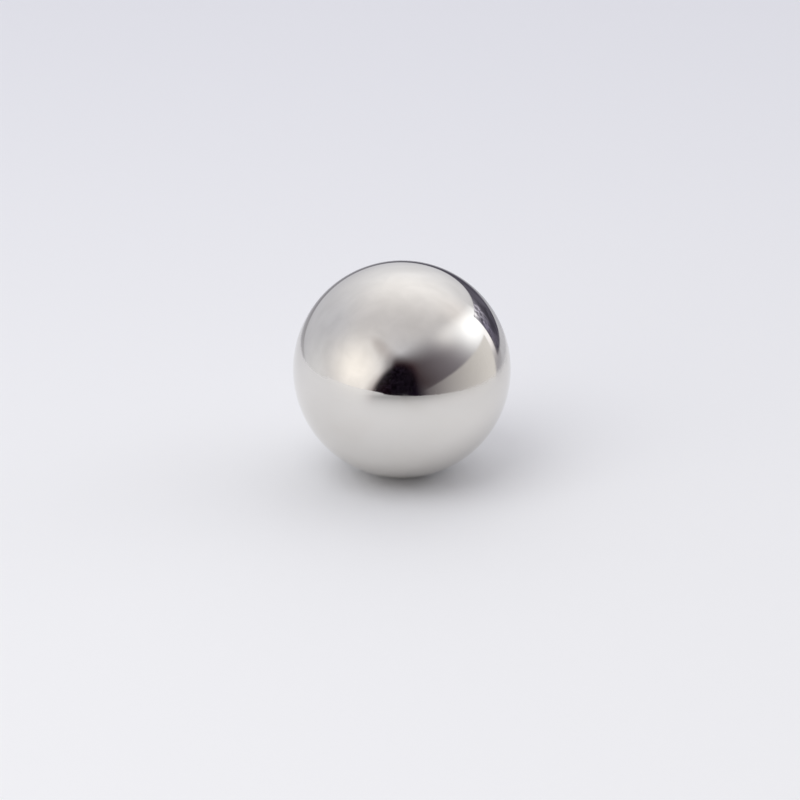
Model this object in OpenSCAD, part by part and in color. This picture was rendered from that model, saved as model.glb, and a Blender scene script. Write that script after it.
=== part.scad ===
// Sphere magnet: a sintered magnet ground to a ball and nickel plated all over.
// Lengths are in millimetres. The origin is the centre of the ball, and +Z lies
// along the diameter that it is magnetised through, with the north pole up.

/* [Ball] */
// Diameter of the finished ball, measured over its plating
ball_d = 19; // [3:0.5:50]

/* [Hidden] */

// Facets of the preview: two degrees each, or a tenth of a millimetre on a small ball
$fa = 2;
$fs = 0.1;

// Bright nickel is a warm, slightly yellow silver
bright_nickel = [0.80, 0.77, 0.72];

// The magnet and its bonded plating are one solid, round in every direction
module magnet_ball() {
    color(bright_nickel)
        sphere(d = ball_d);
}

magnet_ball();
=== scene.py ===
"""Dresses the sphere magnet and lights it on a plain pale floor inside a light tent.

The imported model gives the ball's place and size. This script lays a finely meshed, bright
nickel-plated ball over that solid, and builds the floor, the tent and the camera around it.
Lengths are in metres, +Z is up, and the ball's centre is the origin.
"""
import logging
import math
from dataclasses import dataclass, field
from enum import Enum
from typing import Any, ClassVar, Optional, Union

import bpy
import numpy as np
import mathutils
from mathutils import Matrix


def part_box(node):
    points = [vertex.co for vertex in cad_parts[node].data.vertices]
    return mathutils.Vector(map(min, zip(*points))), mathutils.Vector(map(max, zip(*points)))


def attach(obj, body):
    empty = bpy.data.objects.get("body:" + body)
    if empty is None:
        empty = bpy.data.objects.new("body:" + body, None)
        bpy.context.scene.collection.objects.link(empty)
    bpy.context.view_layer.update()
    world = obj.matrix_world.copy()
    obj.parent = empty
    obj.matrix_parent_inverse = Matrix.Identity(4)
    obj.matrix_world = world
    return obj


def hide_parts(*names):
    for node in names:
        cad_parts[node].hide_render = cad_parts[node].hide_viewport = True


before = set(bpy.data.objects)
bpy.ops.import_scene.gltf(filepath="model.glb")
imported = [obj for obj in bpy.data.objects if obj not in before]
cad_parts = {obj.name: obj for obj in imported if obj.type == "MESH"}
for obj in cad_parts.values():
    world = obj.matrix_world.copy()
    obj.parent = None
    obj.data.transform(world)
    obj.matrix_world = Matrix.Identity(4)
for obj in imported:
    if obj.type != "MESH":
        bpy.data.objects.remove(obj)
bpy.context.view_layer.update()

LOG = logging.getLogger("sphere_magnet")

Colour = tuple[float, float, float]
Vector = tuple[float, float, float]
Value = Union[float, bpy.types.NodeSocket]

MM = 1e-3
MICRON = 1e-6
BALL_NODE = "magnet_ball"
BALL_BODY = "root"


class SeenBy(Enum):
    """Which rays of light a stage piece shows up in."""

    EVERYTHING = "everything"
    ALL_BUT_REFLECTIONS = "all_but_reflections"


class NodeSheet:
    """Adds nodes to one tree, sets what is a number and links what is a socket."""

    def __init__(self, tree: bpy.types.NodeTree) -> None:
        """Keeps the tree that the nodes go into."""
        self.tree = tree

    def add(
        self, kind: str, inputs: Optional[dict[Union[int, str], Any]] = None, **settings: Any
    ) -> bpy.types.Node:
        """Adds one node.

        Args:
            kind: Blender's name of the node type.
            inputs: what its inputs are fed, by name or number.
            **settings: properties of the node and the values that they get.

        Returns:
            The new node.
        """
        node = self.tree.nodes.new(kind)
        for name, value in settings.items():
            setattr(node, name, value)
        for key, value in (inputs or {}).items():
            self.feed(node.inputs[key], value)
        return node

    def feed(self, socket: bpy.types.NodeSocket, value: Any) -> None:
        """Links or sets one input.

        Args:
            socket: the input.
            value: the socket that it is linked to, or the plain value that it gets.
        """
        if isinstance(value, bpy.types.NodeSocket):
            self.tree.links.new(value, socket)
        else:
            socket.default_value = value

    def math(
        self, operation: str, first: Value, second: Value = 0.0, clamp: bool = False
    ) -> bpy.types.NodeSocket:
        """Works out one sum of two values.

        Args:
            operation: name of the Math node's operation.
            first: first value.
            second: second value.
            clamp: whether the result stays between 0 and 1.

        Returns:
            The socket that holds the result.
        """
        inputs = {0: first, 1: second}
        return self.add("ShaderNodeMath", inputs, operation=operation, use_clamp=clamp).outputs[0]

    def times(self, *factors: Value) -> bpy.types.NodeSocket:
        """Multiplies two or more values.

        Args:
            *factors: the values.

        Returns:
            The socket that holds the product.
        """
        product = factors[0]
        for factor in factors[1:]:
            product = self.math("MULTIPLY", product, factor)
        return product

    def ramp(
        self, value: Value, low: Value, high: Value, start: float = 0.0, end: float = 1.0
    ) -> bpy.types.NodeSocket:
        """Eases from one value to another along a smooth step.

        Args:
            value: what is measured.
            low: where the step starts.
            high: where the step ends.
            start: the result below low.
            end: the result above high.

        Returns:
            The socket that holds the eased value.
        """
        inputs = {"Value": value, "From Min": low, "From Max": high, "To Min": start, "To Max": end}
        node = self.add("ShaderNodeMapRange", inputs, interpolation_type="SMOOTHSTEP", clamp=True)
        return node.outputs["Result"]

    def blend(self, share: Value, first: Any, second: Any, mode: str = "MIX") -> bpy.types.NodeSocket:
        """Mixes two colours.

        Args:
            share: how much of the second colour is taken, from 0 to 1.
            first: first colour, as a socket or red, green and blue.
            second: second colour, likewise.
            mode: the Mix node's blend type.

        Returns:
            The socket that holds the mixed colour.
        """
        inputs = {"Factor": share}
        for index, colour in ((6, first), (7, second)):
            inputs[index] = (*colour, 1.0) if isinstance(colour, tuple) else colour
        node = self.add("ShaderNodeMix", inputs, data_type="RGBA", blend_type=mode, clamp_factor=True)
        return node.outputs[2]

    def vector(self, operation: str, first: Any, second: Any) -> bpy.types.Node:
        """Adds one sum of two vectors.

        Args:
            operation: name of the Vector Math node's operation.
            first: first vector, as a socket or three numbers.
            second: second vector, likewise.

        Returns:
            The node, with the result in its Vector or Value output.
        """
        return self.add("ShaderNodeVectorMath", {0: first, 1: second}, operation=operation)

    def dot(self, first: Any, second: Any) -> bpy.types.NodeSocket:
        """Multiplies two vectors into the length of one along the other."""
        return self.vector("DOT_PRODUCT", first, second).outputs["Value"]

    def noise(
        self, place: bpy.types.NodeSocket, grain: Value, detail: float = 2.0, twist: float = 0.0
    ) -> bpy.types.NodeSocket:
        """Adds soft cloudy noise.

        Args:
            place: coordinates that the noise is laid on.
            grain: how many clouds there are to the metre.
            detail: how many finer layers are added.
            twist: how far the clouds are pulled out of shape.

        Returns:
            The socket that holds the noise, about 0.5 on average.
        """
        inputs = {"Vector": place, "Scale": grain, "Detail": detail, "Distortion": twist}
        return self.add("ShaderNodeTexNoise", inputs, noise_dimensions="3D").outputs["Fac"]


def socket_name(word: str) -> str:
    """Turns a field's name into a group input's, so that half_width becomes Half Width."""
    return word.replace("_", " ").title()


def new_group(
    name: str, takes: dict[str, Any], gives: dict[str, str]
) -> tuple[NodeSheet, dict[str, Any], bpy.types.Node]:
    """Starts a shader node group with named inputs and outputs.

    Args:
        name: the group's name.
        takes: each input's name, as a field's, with its value where nothing is linked: a float, or a
            tuple for a vector.
        gives: each output's name, with its socket type.

    Returns:
        The group's sheet, its inputs as sockets by name, and its output node.
    """
    tree = bpy.data.node_groups.new(name, "ShaderNodeTree")
    for word, value in takes.items():
        kind = "NodeSocketVector" if isinstance(value, tuple) else "NodeSocketFloat"
        tree.interface.new_socket(socket_name(word), in_out="INPUT", socket_type=kind).default_value = value
    for label, kind in gives.items():
        tree.interface.new_socket(label, in_out="OUTPUT", socket_type=kind)
    sheet = NodeSheet(tree)
    inside = sheet.add("NodeGroupInput")
    outside = sheet.add("NodeGroupOutput")
    return sheet, {word: inside.outputs[socket_name(word)] for word in takes}, outside


def use_group(sheet: NodeSheet, group: bpy.types.NodeTree, **values: Any) -> bpy.types.Node:
    """Places a node group and feeds its inputs.

    Args:
        sheet: the sheet that it is placed on.
        group: the group.
        **values: inputs by name, as a field's.

    Returns:
        The group's node.
    """
    inputs = {socket_name(word): value for word, value in values.items()}
    return sheet.add("ShaderNodeGroup", inputs, node_tree=group)


@dataclass(frozen=True)
class NickelPlating:
    """Bright nickel, polished in the barrel: a mirror with the faintest wave, haze, hairlines and pits.

    Where a field says noise levels, the mask eases in from the first level of the noise to the second.

    Attributes:
        metal: colour of clean bright nickel, seen straight on.
        handled: colour where a thin film of handling lies on it.
        pit_shade_colour: colour at the bottom of a pit, painted shade in the pit.
        mirror_roughness: roughness of the clean mirror.
        film_roughness: roughness that the film adds where it is thickest.
        film_patch: width of a patch of film.
        film_levels: noise levels that film lies at.
        film_tint: share of the handled colour where the film is thickest.
        film_fineness: finer clouds, which break the film up, across one patch.
        film_breaks: noise levels of those finer clouds.
        film_kept: share of the film that is left where they break it up most.
        tone_levels: noise levels of the broad change of tone under the film.
        tone_tint: share of the handled colour that it adds.
        peel_patch: width of one wave of the plating.
        peel_height: height of those waves.
        grain_patch: width of one of the finer ripples between those waves.
        grain_height: height of those ripples.
        hair_ways: directions that the hairlines run square to, one for each set of them.
        hair_spacing: mean distance between the hairlines of one set.
        hair_length: mean length of a hairline.
        hair_width: width of a hairline.
        hair_roughness: roughness that a hairline adds.
        hair_depth: depth of a hairline.
        hair_margin: share of its lane, at either side, that a hairline keeps out of.
        hair_runs: noise levels that a hairline fades in at, which cut it into lengths.
        hair_faintest: strength of the faintest hairline, as a share of the strongest.
        hair_seeds: steps of the random numbers from set to set, from a lane's place to its
            strength, and of the noise from lane to lane.
        pit_spacing: mean distance between the cells that may hold a pit.
        pit_width: width of the widest pit.
        pit_depth: depth of a pit.
        pit_share: share of the cells that hold one.
        pit_smallest: width of the smallest pit, as a share of the widest.
        pit_shade_share: share of the pitted colour, the painted shade, at the bottom of a pit.
        flat: share of a hairline's or pit's width that lies at its full depth.
    """

    metal: Colour = (0.785, 0.767, 0.732)
    handled: Colour = (0.735, 0.710, 0.665)
    pit_shade_colour: Colour = (0.34, 0.32, 0.30)
    mirror_roughness: float = 0.035
    film_roughness: float = 0.10
    film_patch: float = 5.5 * MM
    film_levels: tuple[float, float] = (0.42, 0.72)
    film_tint: float = 0.45
    film_fineness: float = 7.0
    film_breaks: tuple[float, float] = (0.25, 0.75)
    film_kept: float = 0.55
    tone_levels: tuple[float, float] = (0.3, 0.7)
    tone_tint: float = 0.35
    peel_patch: float = 1.3 * MM
    peel_height: float = 1.2 * MICRON
    grain_patch: float = 0.38 * MM
    grain_height: float = 0.30 * MICRON
    hair_ways: tuple[Vector, ...] = (
        (0.93, 0.21, 0.30), (-0.35, 0.88, 0.32), (0.12, -0.46, 0.88), (0.66, 0.63, -0.41),
        (-0.71, 0.10, 0.70), (0.28, 0.79, -0.55), (0.55, -0.70, 0.46),
    )
    hair_spacing: float = 2.3 * MM
    hair_length: float = 5.0 * MM
    hair_width: float = 0.016 * MM
    hair_roughness: float = 0.20
    hair_depth: float = 0.14 * MICRON
    hair_margin: float = 0.1
    hair_runs: tuple[float, float] = (0.54, 0.62)
    hair_faintest: float = 0.25
    hair_seeds: tuple[float, float, float] = (100.0, 0.37, 5.3)
    pit_spacing: float = 1.5 * MM
    pit_width: float = 0.09 * MM
    pit_depth: float = 1.5 * MICRON
    pit_share: float = 0.30
    pit_smallest: float = 0.35
    pit_shade_share: float = 0.7
    flat: float = 0.3

    def film_group(self) -> bpy.types.NodeTree:
        """Builds the film's mask: broad clouds, cut off softly and broken up by finer ones.

        Returns:
            The group.
        """
        takes = {"place": (0.0, 0.0, 0.0), "patch": self.film_patch}
        sheet, given, out = new_group("handling_film", takes, {"Film": "NodeSocketFloat"})
        per_metre = sheet.math("DIVIDE", 1.0, given["patch"])
        broad = sheet.noise(given["place"], per_metre, detail=2.0, twist=0.7)
        finer = sheet.times(per_metre, self.film_fineness)
        fine = sheet.noise(given["place"], finer, detail=3.0, twist=0.3)
        cloud = sheet.ramp(broad, *self.film_levels)
        broken = sheet.ramp(fine, *self.film_breaks, self.film_kept, 1.0)
        sheet.feed(out.inputs["Film"], sheet.times(cloud, broken))
        return sheet.tree

    def hairline_group(self) -> bpy.types.NodeTree:
        """Builds one set of hairlines: thin parallel slices of space, each at a chance place in its lane.

        A lane is the whole part of the distance along the way over the spacing. The line lies
        where the remainder is near the lane's own random share. Noise that is different in
        each lane cuts it into lengths, and a second random number settles how strong it is.

        Returns:
            The group.
        """
        takes = {
            "place": (0.0, 0.0, 0.0), "way": (1.0, 0.0, 0.0), "seed": 0.0, "spacing": self.hair_spacing,
            "length": self.hair_length, "width": self.hair_width,
        }
        _, strength_seed, run_seed = self.hair_seeds
        sheet, given, out = new_group("hairline_set", takes, {"Line": "NodeSocketFloat"})
        along = sheet.math("DIVIDE", sheet.dot(given["place"], given["way"]), given["spacing"])
        lane = sheet.math("FLOOR", along)
        number = sheet.math("ADD", lane, given["seed"])
        chance = sheet.add("ShaderNodeTexWhiteNoise", {"W": number}, noise_dimensions="1D")
        other = {"W": sheet.math("ADD", number, strength_seed)}
        strength = sheet.add("ShaderNodeTexWhiteNoise", other, noise_dimensions="1D")
        room = 1.0 - 2.0 * self.hair_margin
        home = sheet.math("ADD", sheet.times(chance.outputs["Value"], room), self.hair_margin)
        aside = sheet.math("ABSOLUTE", sheet.math("SUBTRACT", sheet.math("SUBTRACT", along, lane), home))
        half = sheet.times(0.5, sheet.math("DIVIDE", given["width"], given["spacing"]))
        line = sheet.ramp(aside, sheet.times(half, self.flat), half, 1.0, 0.0)
        clouds = {
            "Vector": given["place"], "Scale": sheet.math("DIVIDE", 1.0, given["length"]),
            "W": sheet.times(number, run_seed), "Detail": 0.0,
        }
        run = sheet.add("ShaderNodeTexNoise", clouds, noise_dimensions="4D")
        length = sheet.ramp(run.outputs["Fac"], *self.hair_runs)
        power = sheet.ramp(strength.outputs["Value"], 0.0, 1.0, self.hair_faintest, 1.0)
        sheet.feed(out.inputs["Line"], sheet.times(line, length, power))
        return sheet.tree

    def pit_group(self) -> bpy.types.NodeTree:
        """Builds the pits' mask: one round spot in a few of the cells that space is scattered into.

        Returns:
            The group.
        """
        takes = {
            "place": (0.0, 0.0, 0.0), "spacing": self.pit_spacing, "width": self.pit_width,
            "share": self.pit_share,
        }
        sheet, given, out = new_group("pits", takes, {"Pit": "NodeSocketFloat"})
        scatter = {"Vector": given["place"], "Scale": sheet.math("DIVIDE", 1.0, given["spacing"])}
        cells = sheet.add("ShaderNodeTexVoronoi", scatter, feature="F1")
        chance = sheet.add("ShaderNodeSeparateColor", {"Color": cells.outputs["Color"]})
        held = sheet.math("LESS_THAN", chance.outputs["Red"], given["share"])
        size = sheet.ramp(chance.outputs["Green"], 0.0, 1.0, self.pit_smallest, 1.0)
        radius = sheet.times(0.5, size, sheet.math("DIVIDE", given["width"], given["spacing"]))
        spot = sheet.ramp(cells.outputs["Distance"], sheet.times(radius, self.flat), radius, 1.0, 0.0)
        sheet.feed(out.inputs["Pit"], sheet.times(spot, held))
        return sheet.tree

    def material(self) -> bpy.types.Material:
        """Builds the plating's material, laid on object coordinates so that it has no seam.

        Returns:
            The finished material.
        """
        finish = bpy.data.materials.new("bright_nickel_plating")
        finish.use_nodes = True
        sheet = NodeSheet(finish.node_tree)
        shader = finish.node_tree.nodes["Principled BSDF"]
        place = sheet.add("ShaderNodeTexCoord").outputs["Object"]
        film = use_group(sheet, self.film_group(), place=place).outputs["Film"]
        pit = use_group(sheet, self.pit_group(), place=place).outputs["Pit"]
        hair: Value = 0.0
        hairlines = self.hairline_group()
        for number, way in enumerate(self.hair_ways):
            lines = use_group(sheet, hairlines, place=place, way=way, seed=self.hair_seeds[0] * number)
            hair = sheet.math("MAXIMUM", hair, lines.outputs["Line"])
        tone = sheet.noise(place, 1.0 / (2.0 * self.film_patch), detail=2.0)
        tone = sheet.times(sheet.ramp(tone, *self.tone_levels), self.tone_tint)
        cover = sheet.math("ADD", sheet.times(film, self.film_tint), tone, clamp=True)
        colour = sheet.blend(cover, self.metal, self.handled)
        # Painted shade: the colour darkens toward the pitted colour at the bottom of each pit.
        colour = sheet.blend(sheet.times(pit, self.pit_shade_share), colour, self.pit_shade_colour)
        sheet.feed(shader.inputs["Base Color"], colour)
        rough = sheet.math("ADD", sheet.times(film, self.film_roughness), self.mirror_roughness)
        rough = sheet.math("ADD", rough, sheet.times(hair, self.hair_roughness), clamp=True)
        sheet.feed(shader.inputs["Roughness"], rough)
        peel = sheet.times(sheet.noise(place, 1.0 / self.peel_patch, detail=1.0), self.peel_height)
        grain = sheet.times(sheet.noise(place, 1.0 / self.grain_patch, detail=1.0), self.grain_height)
        height = sheet.math("ADD", peel, grain)
        height = sheet.math("SUBTRACT", height, sheet.times(hair, self.hair_depth))
        height = sheet.math("SUBTRACT", height, sheet.times(pit, self.pit_depth))
        bump = sheet.add("ShaderNodeBump", {"Strength": 1.0, "Distance": 1.0, "Height": height})
        sheet.feed(shader.inputs["Normal"], bump.outputs["Normal"])
        shader.inputs["Metallic"].default_value = 1.0
        return finish


@dataclass
class MagnetBall:
    """The ball magnet: one ground and plated sphere, meshed finely enough to carry a mirror.

    Attributes:
        radius: the ball's radius over its plating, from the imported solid.
        cells: squares along one edge of each of the six patches that cover the ball.
        swell_height: height of the broad swells that grinding leaves.
        swell_count: number of swells summed.
        swell_turns: least and most radians of swell along one radius.
        seed: seed of the swells' directions.
        finish: the plating.
    """

    radius: float
    cells: int = 112
    swell_height: float = 1.6 * MICRON
    swell_count: int = 28
    swell_turns: tuple[float, float] = (3.0, 11.0)
    seed: int = 19
    finish: NickelPlating = field(default_factory=NickelPlating)

    def directions(self) -> tuple[np.ndarray, np.ndarray]:
        """Covers the unit sphere with six square patches that share their edges.

        Each patch is a face of a cube. A point at angles a and b across the face, each from
        minus to plus 45 degrees, lies along the face's axis plus tan a of the second axis plus
        tan b of the third, brought to unit length. Points on shared edges are merged.

        Returns:
            Unit vectors, one a row, and the four corner numbers of each square.
        """
        step = np.arange(-self.cells, self.cells + 1, 2)
        across, along = (grid.ravel() for grid in np.meshgrid(step, step, indexing="ij"))
        edge = np.full_like(across, self.cells)
        lattice = []
        for axis in range(3):
            for side in (-1, 1):
                face = np.empty((across.size, 3), int)
                face[:, axis] = side * edge
                face[:, (axis + 1) % 3] = side * across
                face[:, (axis + 2) % 3] = along
                lattice.append(face)
        corner = np.arange(self.cells * (self.cells + 1)).reshape(self.cells, -1)[:, :-1].ravel()
        row = self.cells + 1
        square = np.stack([corner, corner + row, corner + row + 1, corner + 1], axis=1)
        squares = np.concatenate([square + across.size * number for number in range(6)])
        points, shared = np.unique(np.concatenate(lattice), axis=0, return_inverse=True)
        slopes = np.tan(points * (math.pi / 4) / self.cells)
        return slopes / np.linalg.norm(slopes, axis=1, keepdims=True), shared.ravel()[squares]

    def swells(self, direction: np.ndarray) -> np.ndarray:
        """Works out how far the surface stands off the true sphere.

        The height is a sum of waves, each the cosine of its own vector dotted with the
        direction plus its own phase, divided by the root of their number.

        Args:
            direction: unit vectors, one a row.

        Returns:
            The height at each, in metres.
        """
        draw = np.random.default_rng(self.seed)
        heading = draw.normal(size=(self.swell_count, 3))
        heading /= np.linalg.norm(heading, axis=1, keepdims=True)
        turns = draw.uniform(*self.swell_turns, size=(self.swell_count, 1))
        phase = draw.uniform(0.0, 2.0 * math.pi, size=self.swell_count)
        waves = np.cos(direction @ (heading * turns).T + phase)
        return waves.sum(axis=1) * self.swell_height / math.sqrt(self.swell_count)

    def build(self) -> bpy.types.Object:
        """Makes the ball's mesh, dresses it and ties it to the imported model.

        Each point lies along its direction, at the radius plus the swell there.

        Returns:
            The ball's object.
        """
        direction, squares = self.directions()
        points = direction * (self.radius + self.swells(direction))[:, None]
        ball = mesh_object("nickel_ball", points, squares)
        ball.data.materials.append(self.finish.material())
        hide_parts(BALL_NODE)
        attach(ball, BALL_BODY)
        LOG.info("nickel_ball: %.2f mm across, %d squares", 2 * self.radius / MM, len(squares))
        return ball


@dataclass(frozen=True)
class MattePaper:
    """Plain pale paper for the floor, painted a little cooler and darker to the rear, and far off on every
    side: painted shade, the light falling off away from the front.

    Attributes:
        near: colour at the front.
        rear: colour at the back, cooler and darker than the front: painted shade.
        far: colour far off, darker than the front: painted shade.
        front: place along Y where the front colour ends.
        back: place along Y where the back colour starts.
        fade: distances from the ball between which the far colour takes over.
        rounds: middles of the two rounds of floor that the ball reflects, and how much smaller each is.
        easing: how widely the corner between the rounds is eased.
        melt: distances from a middle between which that reflection melts into the tent.
        fray: how far that edge wanders.
        fray_patch: width of one of its frays.
        thinning: distances from the ball between which the reflection first grows thin, so that the tent
            behind dims it: painted shade on the paper.
        thinned: share of it that is gone by then.
        whole_side: places along X between which it grows from half as thin to fully so.
        tooth: size of the paper's grain.
        tooth_height: height of that grain.
        roughness: roughness of its face.
        gloss: strength of the gleam on it.
    """

    near: Colour = (0.895, 0.906, 0.918)
    rear: Colour = (0.835, 0.85, 0.90)
    far: Colour = (0.85, 0.86, 0.89)
    front: float = -80 * MM
    back: float = 180 * MM
    fade: tuple[float, float] = (160 * MM, 600 * MM)
    rounds: tuple[tuple[Vector, float], ...] = (
        ((-25 * MM, -30 * MM, 0.0), 0.0), ((-150 * MM, -120 * MM, 0.0), -11 * MM),
    )
    easing: float = 70 * MM
    melt: tuple[float, float] = (78 * MM, 99 * MM)
    fray: float = 18 * MM
    fray_patch: float = 6 * MM
    thinning: tuple[float, float] = (18 * MM, 95 * MM)
    thinned: float = 0.52
    whole_side: tuple[float, float] = (-62 * MM, -22 * MM)
    tooth: float = 0.5 * MM
    tooth_height: float = 8 * MICRON
    roughness: float = 0.9
    gloss: float = 0.1

    def cleared(
        self, sheet: NodeSheet, place: bpy.types.NodeSocket, away: bpy.types.NodeSocket
    ) -> bpy.types.NodeSocket:
        """Works out how clear the paper is where the ball reflects it, so that the tent shows through.

        It is wholly clear past the edge of the two rounds. The edge lies at a set distance
        from the nearer middle, where the lesser of the two distances is taken smoothly. Before
        the edge it grows partly clear with the distance from the ball, and the tent that shows through dims
        the reflected paper: painted shade on the paper.

        Args:
            sheet: the material's sheet.
            place: socket of the object coordinates.
            away: socket of the distance from the ball.

        Returns:
            The socket of the share that is clear.
        """
        frays = sheet.math("SUBTRACT", sheet.noise(place, 1.0 / self.fray_patch), 0.5)
        distances = [
            sheet.math("ADD", sheet.vector("DISTANCE", place, middle).outputs["Value"], smaller)
            for middle, smaller in self.rounds
        ]
        eased = dict(enumerate((*distances, self.easing)))
        nearest = sheet.add("ShaderNodeMath", eased, operation="SMOOTH_MIN")
        reach = sheet.math("ADD", nearest.outputs[0], sheet.times(frays, self.fray))
        across = sheet.dot(place, (1.0, 0.0, 0.0))
        # Painted shade: the reflected paper thins with the distance from the ball, so the tent behind dims
        # it.
        thin = sheet.ramp(away, *self.thinning, 0.0, self.thinned)
        thin = sheet.times(thin, sheet.ramp(across, *self.whole_side, 0.5, 1.0))
        return sheet.math("MAXIMUM", sheet.ramp(reach, *self.melt), thin)

    def material(self) -> bpy.types.Material:
        """Builds the paper's material, which only the ball's reflection sees melt into the tent.

        Returns:
            The finished material.
        """
        finish = bpy.data.materials.new("pale_paper")
        finish.use_nodes = True
        sheet = NodeSheet(finish.node_tree)
        shader = finish.node_tree.nodes["Principled BSDF"]
        place = sheet.add("ShaderNodeTexCoord").outputs["Object"]
        along = sheet.dot(place, (0.0, 1.0, 0.0))
        # Painted shade: the paper darkens from the front colour to the rear colour, and to the far colour
        # away from the ball.
        colour = sheet.blend(sheet.ramp(along, self.front, self.back), self.near, self.rear)
        away = sheet.vector("LENGTH", place, (0.0, 0.0, 0.0)).outputs["Value"]
        colour = sheet.blend(sheet.ramp(away, *self.fade), colour, self.far)
        sheet.feed(shader.inputs["Base Color"], colour)
        shader.inputs["Roughness"].default_value = self.roughness
        shader.inputs["Specular IOR Level"].default_value = self.gloss
        grain = sheet.times(sheet.noise(place, 1.0 / self.tooth), self.tooth_height)
        bump = sheet.add("ShaderNodeBump", {"Distance": 1.0, "Height": grain})
        sheet.feed(shader.inputs["Normal"], bump.outputs["Normal"])
        mirrored = sheet.add("ShaderNodeLightPath").outputs["Is Glossy Ray"]
        clear = sheet.add("ShaderNodeBsdfTransparent").outputs["BSDF"]
        share = sheet.times(mirrored, self.cleared(sheet, place, away))
        melted = sheet.add("ShaderNodeMixShader", {0: share, 1: shader.outputs["BSDF"], 2: clear})
        sheet.feed(finish.node_tree.nodes["Material Output"].inputs["Surface"], melted.outputs["Shader"])
        return finish


@dataclass
class Floor:
    """A wide sheet of paper: a middle that the ball reflects, and a surround that only the eye sees.

    Attributes:
        level: height of the paper, at the ball's lowest point.
        middle: radius of the middle sheet.
        reach: radius of the whole floor.
        spokes: straight edges round each sheet.
        circles: circles of points in each ring.
        pin: radius of the small disc that closes the middle.
        finish: the paper.
    """

    level: float
    middle: float = 330 * MM
    reach: float = 6.0
    spokes: int = 128
    circles: int = 4
    pin: float = 1.0 * MM
    finish: MattePaper = field(default_factory=MattePaper)

    def ring(self, name: str, inner: float, outer: float, seen_by: SeenBy) -> bpy.types.Object:
        """Lays one flat ring of paper.

        A point at angle t lies at a radius times cosine t and sine t, on the floor's level.
        The circles run from the inner radius to the outer, evenly in their logarithm.

        Args:
            name: the sheet's name.
            inner: its inner radius.
            outer: its outer radius.
            seen_by: which rays it shows up in.

        Returns:
            The sheet's object.
        """
        turn = np.linspace(0.0, 2.0 * math.pi, self.spokes, endpoint=False)
        radii = np.geomspace(inner, outer, self.circles)[:, None]
        level = np.full((self.circles, self.spokes), self.level)
        points = np.stack([radii * np.cos(turn), radii * np.sin(turn), level], axis=-1)
        squares = wrapped_squares(self.circles, self.spokes)
        sheet = mesh_object(name, points.reshape(-1, 3), squares[:, ::-1])
        sheet.visible_glossy = seen_by is not SeenBy.ALL_BUT_REFLECTIONS
        return sheet

    def build(self) -> None:
        """Lays the middle and the surround, with a small disc under the ball to close the middle."""
        paper = self.finish.material()
        turn = np.linspace(0.0, 2.0 * math.pi, self.spokes, endpoint=False)
        level = np.full(self.spokes, self.level)
        rim = np.stack([self.pin * np.cos(turn), self.pin * np.sin(turn), level], axis=-1)
        sheets = [
            mesh_object("floor_centre", rim, np.arange(self.spokes)[None, :]),
            self.ring("floor_middle", self.pin, self.middle, SeenBy.EVERYTHING),
            self.ring("floor_surround", self.middle, self.reach, SeenBy.ALL_BUT_REFLECTIONS),
        ]
        for sheet in sheets:
            sheet.data.materials.append(paper)
        LOG.info("floor: %d sheets at %.2f mm", len(sheets), self.level / MM)


@dataclass(frozen=True)
class Glow:
    """A lamp that shines through the tent's cloth, brightest in one direction.

    Attributes:
        azimuth: degrees to the right of the camera's side.
        height: degrees above the horizon.
        tightness: power of the cosine that it fades by, so a high one is a small spot.
        colour: light at its centre.
        specks: share of its light that fine specks break up.
    """

    azimuth: float
    height: float
    tightness: float
    colour: Colour
    specks: float = 0.0

    def toward(self) -> Vector:
        """Gives the unit vector to the lamp."""
        turn, lift = math.radians(self.azimuth), math.radians(self.height)
        return (math.sin(turn) * math.cos(lift), -math.cos(turn) * math.cos(lift), math.sin(lift))


@dataclass(frozen=True)
class Panel:
    """A flat upright panel of the tent, with its edges given as slopes seen from the ball.

    A slope is the distance across, or up, divided by the distance to the panel.

    Attributes:
        name: what the panel is.
        azimuth: degrees to the right of the camera's side that the panel faces from.
        left: left edge.
        right: right edge.
        bottom: lower edge.
        top: upper edge, at the middle.
        softness: width that the side and lower edges fade over.
        top_softness: width that the upper edge fades over.
        top_rise: how far the upper edge rises for each unit to the right.
        top_bow: how far the upper edge falls for each squared unit to either side.
        sizes: names of the numbers that its mask takes.
        first: light at the left.
        last: light at the right.
        glows: lamps that shine through it.
        mottle: share of the light that cloudy patches take away.
    """

    name: str
    azimuth: float
    left: float
    right: float
    bottom: float
    top: float
    softness: float
    top_softness: float
    first: Colour
    last: Colour
    top_rise: float = 0.0
    top_bow: float = 0.0
    glows: tuple[Glow, ...] = ()
    mottle: float = 0.0
    sizes: ClassVar[tuple[str, ...]] = (
        "azimuth", "left", "right", "bottom", "top", "top_rise", "top_bow", "softness", "top_softness",
    )


@dataclass(frozen=True)
class RoundShade:
    """A dark rounded thing that stands in the tent, given as slopes seen from the ball.

    Attributes:
        name: what the shade is.
        azimuth: degrees to the right of the camera's side that it faces from.
        middle: where its middle stands.
        half_width: half its width at the foot.
        height: its height above its foot.
        lean: how far it leans to the right for each unit up.
        softness: width that its edge fades over, as a share of its size.
        strength: how much of the tent it hides.
        colour: its own light.
        mottle: share of that light that fine specks take away.
        foot: how high its widest part is above the horizon.
        sizes: names of the numbers that its mask takes.
    """

    name: str
    azimuth: float
    middle: float
    half_width: float
    height: float
    lean: float
    softness: float
    strength: float
    colour: Colour
    mottle: float = 0.0
    foot: float = 0.0
    sizes: ClassVar[tuple[str, ...]] = (
        "azimuth", "middle", "half_width", "foot", "height", "lean", "softness",
    )


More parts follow.
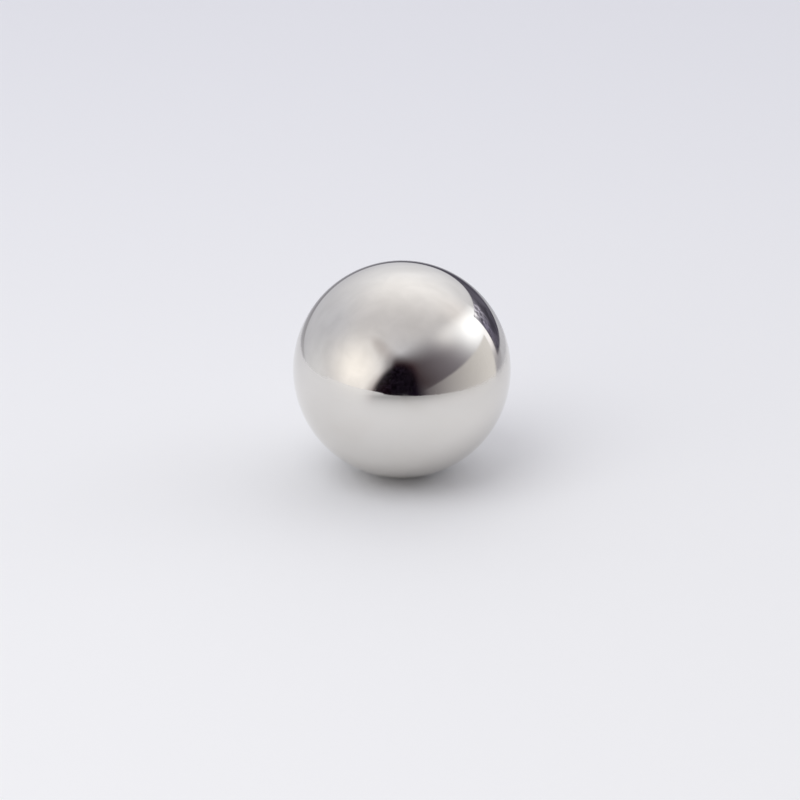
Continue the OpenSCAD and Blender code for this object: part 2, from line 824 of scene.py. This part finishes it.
@dataclass
class LightTent:
    """The light tent: cloth all round, lamps behind it, and the few dark and pale things seen in it.

    Attributes:
        cloth: light of the unlit cloth.
        ceiling: light that the ceiling adds overhead.
        lamps: lamps behind the cloth.
        panels: flat panels that hide the cloth, each in front of the one before.
        shades: rounded dark things in front of the panels.
        backdrop: light behind the floor's far edge, where the camera looks past it.
        overhead: heights of a direction, as sines, between which the ceiling takes over.
        fold_count: cloudy folds of the cloth, to the unit of direction.
        fold_levels: noise levels of the folds.
        fold_depth: share of light that the folds take away.
        speck_count: fine specks, to the unit of direction.
        speck_levels: noise levels of the specks on a shade.
        lamp_speck_levels: noise levels of the specks that break up a lamp.
        mottle_count: cloudy patches on the panels, to the unit of direction.
        mottle_levels: noise levels of those patches.
        edge_on: share of a direction that has to be ahead, for slopes to be taken of it.
        black: light of what gives none.
    """

    cloth: Colour = (0.603, 0.605, 0.654)
    ceiling: Colour = (0.078, 0.056, 0.026)
    lamps: tuple[Glow, ...] = (
        Glow(azimuth=172.6, height=49.6, tightness=4.3, colour=(0.491, 0.487, 0.472)),
        Glow(azimuth=-51, height=13.5, tightness=6.6, colour=(0.638, 0.582, 0.487)),
        Glow(azimuth=109, height=35, tightness=17.4, colour=(0.209, 0.176, 0.135)),
        Glow(azimuth=-104, height=-8, tightness=14, colour=(0.190, 0.189, 0.171)),
    )
    panels: tuple[Panel, ...] = (
        Panel(
            "side_wall", azimuth=60, left=-2.79, right=3.3, bottom=-0.4, top=0.945, softness=1.2,
            top_softness=0.99, top_rise=-0.098, top_bow=-0.076,
            first=(0.065, 0.049, 0.055), last=(0.065, 0.049, 0.055),
            glows=(
                Glow(azimuth=119, height=33.7, tightness=1.0, colour=(0.250, 0.247, 0.279)),
                Glow(azimuth=117, height=38.2, tightness=8.7, colour=(1.95, 2.02, 2.04)),
                Glow(azimuth=70, height=51.8, tightness=31.5, colour=(0.813, 0.792, 0.755)),
                Glow(azimuth=121, height=5, tightness=120, colour=(0.45, 0.42, 0.40)),
            ),
        ),
        Panel(
            "low_reflector", azimuth=75, left=-1.38, right=0.875, bottom=-0.4, top=0.224, softness=0.03,
            top_softness=0.05, top_rise=0.142, top_bow=0.053,
            first=(0.135, 0.119, 0.133), last=(0.832, 0.808, 0.796),
        ),
        Panel(
            "rear_gap", azimuth=150, left=-0.50, right=0.75, bottom=-0.10, top=0.245, softness=0.018,
            top_softness=0.018, top_rise=-0.49, first=(0.12, 0.11, 0.15), last=(0.150, 0.145, 0.18),
            glows=(
                Glow(azimuth=128.5, height=22.5, tightness=400, colour=(1.3, 1.3, 1.34), specks=0.3),
                Glow(azimuth=135.5, height=17.5, tightness=190, colour=(1.0, 0.97, 1.12), specks=0.85),
                Glow(azimuth=128, height=11, tightness=140, colour=(0.14, 0.13, 0.19), specks=0.8),
            ),
            mottle=0.5,
        ),
        Panel(
            "rear_slit", azimuth=-170, left=-0.55, right=1.0, bottom=-0.17, top=0.0, softness=0.45,
            top_softness=0.04, top_rise=-0.18, first=(0.07, 0.065, 0.09), last=(0.37, 0.36, 0.38),
        ),
    )
    shades: tuple[RoundShade, ...] = (
        RoundShade(
            "camera_shadow", azimuth=-4, middle=-0.185, half_width=0.325, height=0.534, lean=0.531,
            foot=-0.137, softness=1.6, strength=1.0, colour=(0.056, 0.0, 0.0),
        ),
        RoundShade(
            "camera_shoulder", azimuth=-4, middle=0.30, half_width=0.19, height=0.50, lean=-0.758,
            foot=0.936, softness=1.9, strength=0.25, colour=(0.132, 0.041, 0.0),
        ),
        RoundShade(
            "camera_side", azimuth=-4, middle=0.134, half_width=0.3375, height=0.754, lean=-0.30,
            foot=-0.161, softness=1.0, strength=1.0, colour=(0.0092, 0.0048, 0.0124),
        ),
        RoundShade(
            "camera_body", azimuth=-4, middle=-0.072, half_width=0.389, height=0.532, lean=0.317,
            foot=-0.031, softness=0.38, strength=0.92, colour=(0.0135, 0.0095, 0.017), mottle=0.85,
        ),
    )
    backdrop: Colour = (0.651, 0.644, 0.686)
    overhead: tuple[float, float] = (0.5, 1.0)
    fold_count: float = 3.5
    fold_levels: tuple[float, float] = (0.3, 0.7)
    fold_depth: float = 0.07
    speck_count: float = 22.0
    speck_levels: tuple[float, float] = (0.35, 0.6)
    lamp_speck_levels: tuple[float, float] = (0.42, 0.58)
    mottle_count: float = 9.0
    mottle_levels: tuple[float, float] = (0.35, 0.65)
    edge_on: float = 1e-3
    black: Colour = (0.0, 0.0, 0.0)

    def glow_group(self) -> bpy.types.NodeTree:
        """Builds a lamp's fade: the cosine of the angle to the lamp, raised to the tightness.

        Returns:
            The group.
        """
        takes = {"direction": (0.0, 0.0, 1.0), "toward": (0.0, 0.0, 1.0), "tightness": 2.0}
        sheet, given, out = new_group("lamp_glow", takes, {"Glow": "NodeSocketFloat"})
        ahead = sheet.math("MAXIMUM", sheet.dot(given["direction"], given["toward"]), 0.0)
        sheet.feed(out.inputs["Glow"], sheet.math("POWER", ahead, given["tightness"]))
        return sheet.tree

    def slopes(self, sheet: NodeSheet, way: Any, azimuth: Any) -> tuple[Any, Any, Any]:
        """Turns a direction into slopes seen from the ball.

        The direction is turned back by the azimuth. The slopes are then the distance to the
        right, and the distance up, over the distance ahead.

        Args:
            sheet: the sheet that the nodes go on.
            way: socket of the direction.
            azimuth: socket of the azimuth, in degrees.

        Returns:
            The slope across, the slope up, and one where the direction is ahead.
        """
        turn = {"Vector": way, "Angle": sheet.times(azimuth, -math.pi / 180.0)}
        turned = sheet.add("ShaderNodeVectorRotate", turn, rotation_type="Z_AXIS")
        parts = sheet.add("ShaderNodeSeparateXYZ", {"Vector": turned.outputs["Vector"]})
        ahead = sheet.times(parts.outputs["Y"], -1.0)
        distance = sheet.math("MAXIMUM", ahead, self.edge_on)
        across = sheet.math("DIVIDE", parts.outputs["X"], distance)
        upward = sheet.math("DIVIDE", parts.outputs["Z"], distance)
        return across, upward, sheet.math("GREATER_THAN", ahead, self.edge_on)

    def panel_group(self) -> bpy.types.NodeTree:
        """Builds a panel's mask: slopes across and up, stepped softly at its four edges.

        Returns:
            The group, which also gives how far across the panel a direction falls.
        """
        takes = {"direction": (0.0, 0.0, 1.0)} | dict.fromkeys(Panel.sizes, 0.0)
        gives = {"Mask": "NodeSocketFloat", "Share": "NodeSocketFloat"}
        sheet, given, out = new_group("tent_panel", takes, gives)
        across, upward, mask = self.slopes(sheet, given["direction"], given["azimuth"])
        top = sheet.math("ADD", given["top"], sheet.times(given["top_rise"], across))
        top = sheet.math("SUBTRACT", top, sheet.times(given["top_bow"], across, across))
        for inside, softness in (
            (sheet.math("SUBTRACT", across, given["left"]), given["softness"]),
            (sheet.math("SUBTRACT", given["right"], across), given["softness"]),
            (sheet.math("SUBTRACT", upward, given["bottom"]), given["softness"]),
            (sheet.math("SUBTRACT", top, upward), given["top_softness"]),
        ):
            half = sheet.times(softness, 0.5)
            mask = sheet.times(mask, sheet.ramp(inside, sheet.times(half, -1.0), half))
        sheet.feed(out.inputs["Mask"], mask)
        sheet.feed(out.inputs["Share"], sheet.ramp(across, given["left"], given["right"]))
        return sheet.tree

    def shade_group(self) -> bpy.types.NodeTree:
        """Builds a rounded shade's mask: a leaning ellipse round its foot, stepped softly at its edge.

        Returns:
            The group.
        """
        takes = {"direction": (0.0, 0.0, 1.0)} | dict.fromkeys(RoundShade.sizes, 1.0)
        sheet, given, out = new_group("round_shade", takes, {"Mask": "NodeSocketFloat"})
        across, upward, ahead = self.slopes(sheet, given["direction"], given["azimuth"])
        middle = sheet.math("ADD", given["middle"], sheet.times(given["lean"], upward))
        aside = sheet.math("DIVIDE", sheet.math("SUBTRACT", across, middle), given["half_width"])
        lift = sheet.math("DIVIDE", sheet.math("SUBTRACT", upward, given["foot"]), given["height"])
        size = sheet.math("SQRT", sheet.math("ADD", sheet.times(aside, aside), sheet.times(lift, lift)))
        half = sheet.times(given["softness"], 0.5)
        edge = sheet.ramp(size, sheet.math("SUBTRACT", 1.0, half), sheet.math("ADD", 1.0, half), 1.0, 0.0)
        sheet.feed(out.inputs["Mask"], sheet.times(edge, ahead))
        return sheet.tree

    def lit(
        self, sheet: NodeSheet, group: bpy.types.NodeTree, way: Any, colour: Any, glows: tuple[Glow, ...]
    ) -> Any:
        """Adds lamps to a colour.

        Args:
            sheet: the world's sheet.
            group: the lamp's node group.
            way: socket of the direction.
            colour: what the lamps are added to.
            glows: the lamps.

        Returns:
            The socket of the sum.
        """
        for glow in glows:
            spot = use_group(sheet, group, direction=way, toward=glow.toward(), tightness=glow.tightness)
            share = spot.outputs["Glow"]
            if glow.specks:
                specks = sheet.noise(way, self.speck_count, detail=2.0)
                kept = sheet.ramp(specks, *self.lamp_speck_levels, 1.0 - glow.specks, 1.0)
                share = sheet.times(share, kept)
            colour = sheet.blend(share, colour, sheet.blend(1.0, colour, glow.colour, "ADD"))
        return colour

    def build(self) -> None:
        """Sets the world: what the ball reflects, and a plain backdrop past the floor's far edge.

        The cloth comes first, with its lamps and folds. Each panel then hides what is behind
        it, and each shade hides its share of that.
        """
        world = bpy.data.worlds.new("light_tent")
        world.use_nodes = True
        bpy.context.scene.world = world
        sheet = NodeSheet(world.node_tree)
        way = sheet.add("ShaderNodeTexCoord").outputs["Generated"]
        glow_group, panel_group, shade_group = self.glow_group(), self.panel_group(), self.shade_group()
        parts = sheet.add("ShaderNodeSeparateXYZ", {"Vector": way})
        overhead = sheet.ramp(parts.outputs["Z"], *self.overhead)
        light = sheet.blend(overhead, self.cloth, tuple(np.add(self.cloth, self.ceiling).tolist()))
        light = self.lit(sheet, glow_group, way, light, self.lamps)
        cloudy = sheet.noise(way, self.fold_count, detail=3.0, twist=0.4)
        folds = sheet.ramp(cloudy, *self.fold_levels, 0.0, self.fold_depth)
        light = sheet.blend(folds, light, self.black)
        cloud = sheet.noise(way, self.mottle_count, detail=4.0, twist=1.0)
        speckled = sheet.noise(way, self.speck_count, detail=2.0)
        for panel in self.panels:
            sizes = {name: getattr(panel, name) for name in panel.sizes}
            placed = use_group(sheet, panel_group, direction=way, **sizes)
            face = sheet.blend(placed.outputs["Share"], panel.first, panel.last)
            face = self.lit(sheet, glow_group, way, face, panel.glows)
            mottle = sheet.ramp(cloud, *self.mottle_levels, 0.0, panel.mottle)
            face = sheet.blend(mottle, face, self.black)
            light = sheet.blend(placed.outputs["Mask"], light, face)
            LOG.info("tent panel: %s", panel.name)
        for shade in self.shades:
            sizes = {name: getattr(shade, name) for name in shade.sizes}
            placed = use_group(sheet, shade_group, direction=way, **sizes)
            patch = sheet.ramp(speckled, *self.speck_levels, 0.0, shade.mottle)
            face = sheet.blend(patch, shade.colour, self.black)
            light = sheet.blend(sheet.times(placed.outputs["Mask"], shade.strength), light, face)
            LOG.info("tent shade: %s", shade.name)
        direct = sheet.add("ShaderNodeLightPath").outputs["Is Camera Ray"]
        background = world.node_tree.nodes["Background"]
        sheet.feed(background.inputs["Color"], sheet.blend(direct, light, self.backdrop))


@dataclass
class FillLight:
    """A broad soft lamp over the left of the floor, which the polished ball doesn't show.

    Attributes:
        place: centre of the lamp.
        target: point that it faces.
        size: side of its square.
        power: power in watts.
        colour: its light.
    """

    place: Vector = (-0.16, -0.14, 0.32)
    target: Vector = (-0.03, -0.02, -0.0095)
    size: float = 0.30
    power: float = 0.40
    colour: Colour = (0.98, 0.99, 1.0)

    def build(self) -> bpy.types.Object:
        """Hangs the lamp.

        Returns:
            The lamp's object.
        """
        light = bpy.data.lights.new("front_fill", "AREA")
        light.shape = "SQUARE"
        light.size = self.size
        light.energy = self.power
        light.color = self.colour
        lamp = bpy.data.objects.new("front_fill", light)
        bpy.context.scene.collection.objects.link(lamp)
        lamp.location = self.place
        lamp.rotation_euler = looking(self.place, self.target)
        lamp.visible_glossy = False
        return lamp


@dataclass
class ShootingCamera:
    """The camera: where the ball falls in the frame, and the lens, settle where it stands.

    Attributes:
        frame_px: width and height of the square frame.
        focal_px: focal length, in pixels of that frame.
        ball_px: where the ball's centre falls, to the right and down.
        ball_radius_px: radius of the ball's outline.
        tilt: degrees that the camera looks down.
        sensor: width of the sensor in millimetres.
        clip: nearest and farthest distance that it sees.
    """

    frame_px: float = 800.0
    focal_px: float = 3077.0
    ball_px: tuple[float, float] = (401.9, 369.3)
    ball_radius_px: float = 108.9
    tilt: float = 22.75
    sensor: float = 36.0
    clip: tuple[float, float] = (1.0 * MM, 20.0)

    def build(self, radius: float) -> bpy.types.Object:
        """Places the camera so that a ball of this radius falls where the frame has it.

        The sight line to the ball is the camera's axis plus the ball's offsets over the focal
        length. The distance is the ball's radius over the sine of its half angle.

        Args:
            radius: the ball's radius.

        Returns:
            The camera's object.
        """
        tilt = math.radians(self.tilt)
        ahead = np.array([0.0, math.cos(tilt), -math.sin(tilt)])
        upward = np.array([0.0, math.sin(tilt), math.cos(tilt)])
        aside = np.array([1.0, 0.0, 0.0])
        right, below = (np.array(self.ball_px) - self.frame_px / 2.0) / self.focal_px
        sight = ahead + aside * right - upward * below
        sight /= np.linalg.norm(sight)
        distance = radius / math.sin(math.atan(self.ball_radius_px / self.focal_px))
        lens = bpy.data.cameras.new("shooting_camera")
        lens.sensor_width = self.sensor
        lens.lens = self.focal_px * self.sensor / self.frame_px
        lens.clip_start, lens.clip_end = self.clip
        camera = bpy.data.objects.new("shooting_camera", lens)
        bpy.context.scene.collection.objects.link(camera)
        camera.location = -sight * distance
        camera.rotation_euler = (math.pi / 2.0 - tilt, 0.0, 0.0)
        bpy.context.scene.camera = camera
        LOG.info("camera: %.1f mm from the ball's centre", distance / MM)
        return camera


def looking(place: Vector, target: Vector) -> tuple[float, float, float]:
    """Turns a lamp at one point to face another.

    Args:
        place: where the lamp is.
        target: what it faces.

    Returns:
        The Euler angles.
    """
    across, along, down = np.subtract(target, place)
    return (math.atan2(math.hypot(across, along), -down), 0.0, math.atan2(-across, along))


def wrapped_squares(rows: int, columns: int) -> np.ndarray:
    """Numbers the squares of a grid whose last column joins its first.

    Args:
        rows: rows of points.
        columns: points in a row.

    Returns:
        The four corner numbers of each square.
    """
    number = np.arange(rows * columns).reshape(rows, columns)
    after = np.roll(number, -1, axis=1)
    return np.stack([number[:-1], after[:-1], after[1:], number[1:]], axis=-1).reshape(-1, 4)


def mesh_object(name: str, points: np.ndarray, faces: np.ndarray) -> bpy.types.Object:
    """Puts points and faces into a smooth mesh, with its object at the origin.

    Args:
        name: the object's name.
        points: corners, one a row, in metres.
        faces: corner numbers, one face a row.

    Returns:
        The object, linked to the scene.
    """
    mesh = bpy.data.meshes.new(name)
    mesh.from_pydata(points.tolist(), [], faces.tolist())
    mesh.polygons.foreach_set("use_smooth", np.ones(len(faces), bool))
    mesh.update()
    piece = bpy.data.objects.new(name, mesh)
    bpy.context.scene.collection.objects.link(piece)
    return piece


def main() -> None:
    """Builds the magnet, the floor, the tent, the lamp and the camera."""
    logging.basicConfig(level=logging.INFO, format="%(name)s: %(message)s")
    low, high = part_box(BALL_NODE)
    radius = (high[2] - low[2]) / 2.0
    bpy.context.scene.view_settings.view_transform = "Standard"
    MagnetBall(radius=radius).build()
    Floor(level=low[2]).build()
    LightTent().build()
    FillLight().build()
    ShootingCamera().build(radius)


if __name__ == "__main__":
    main()
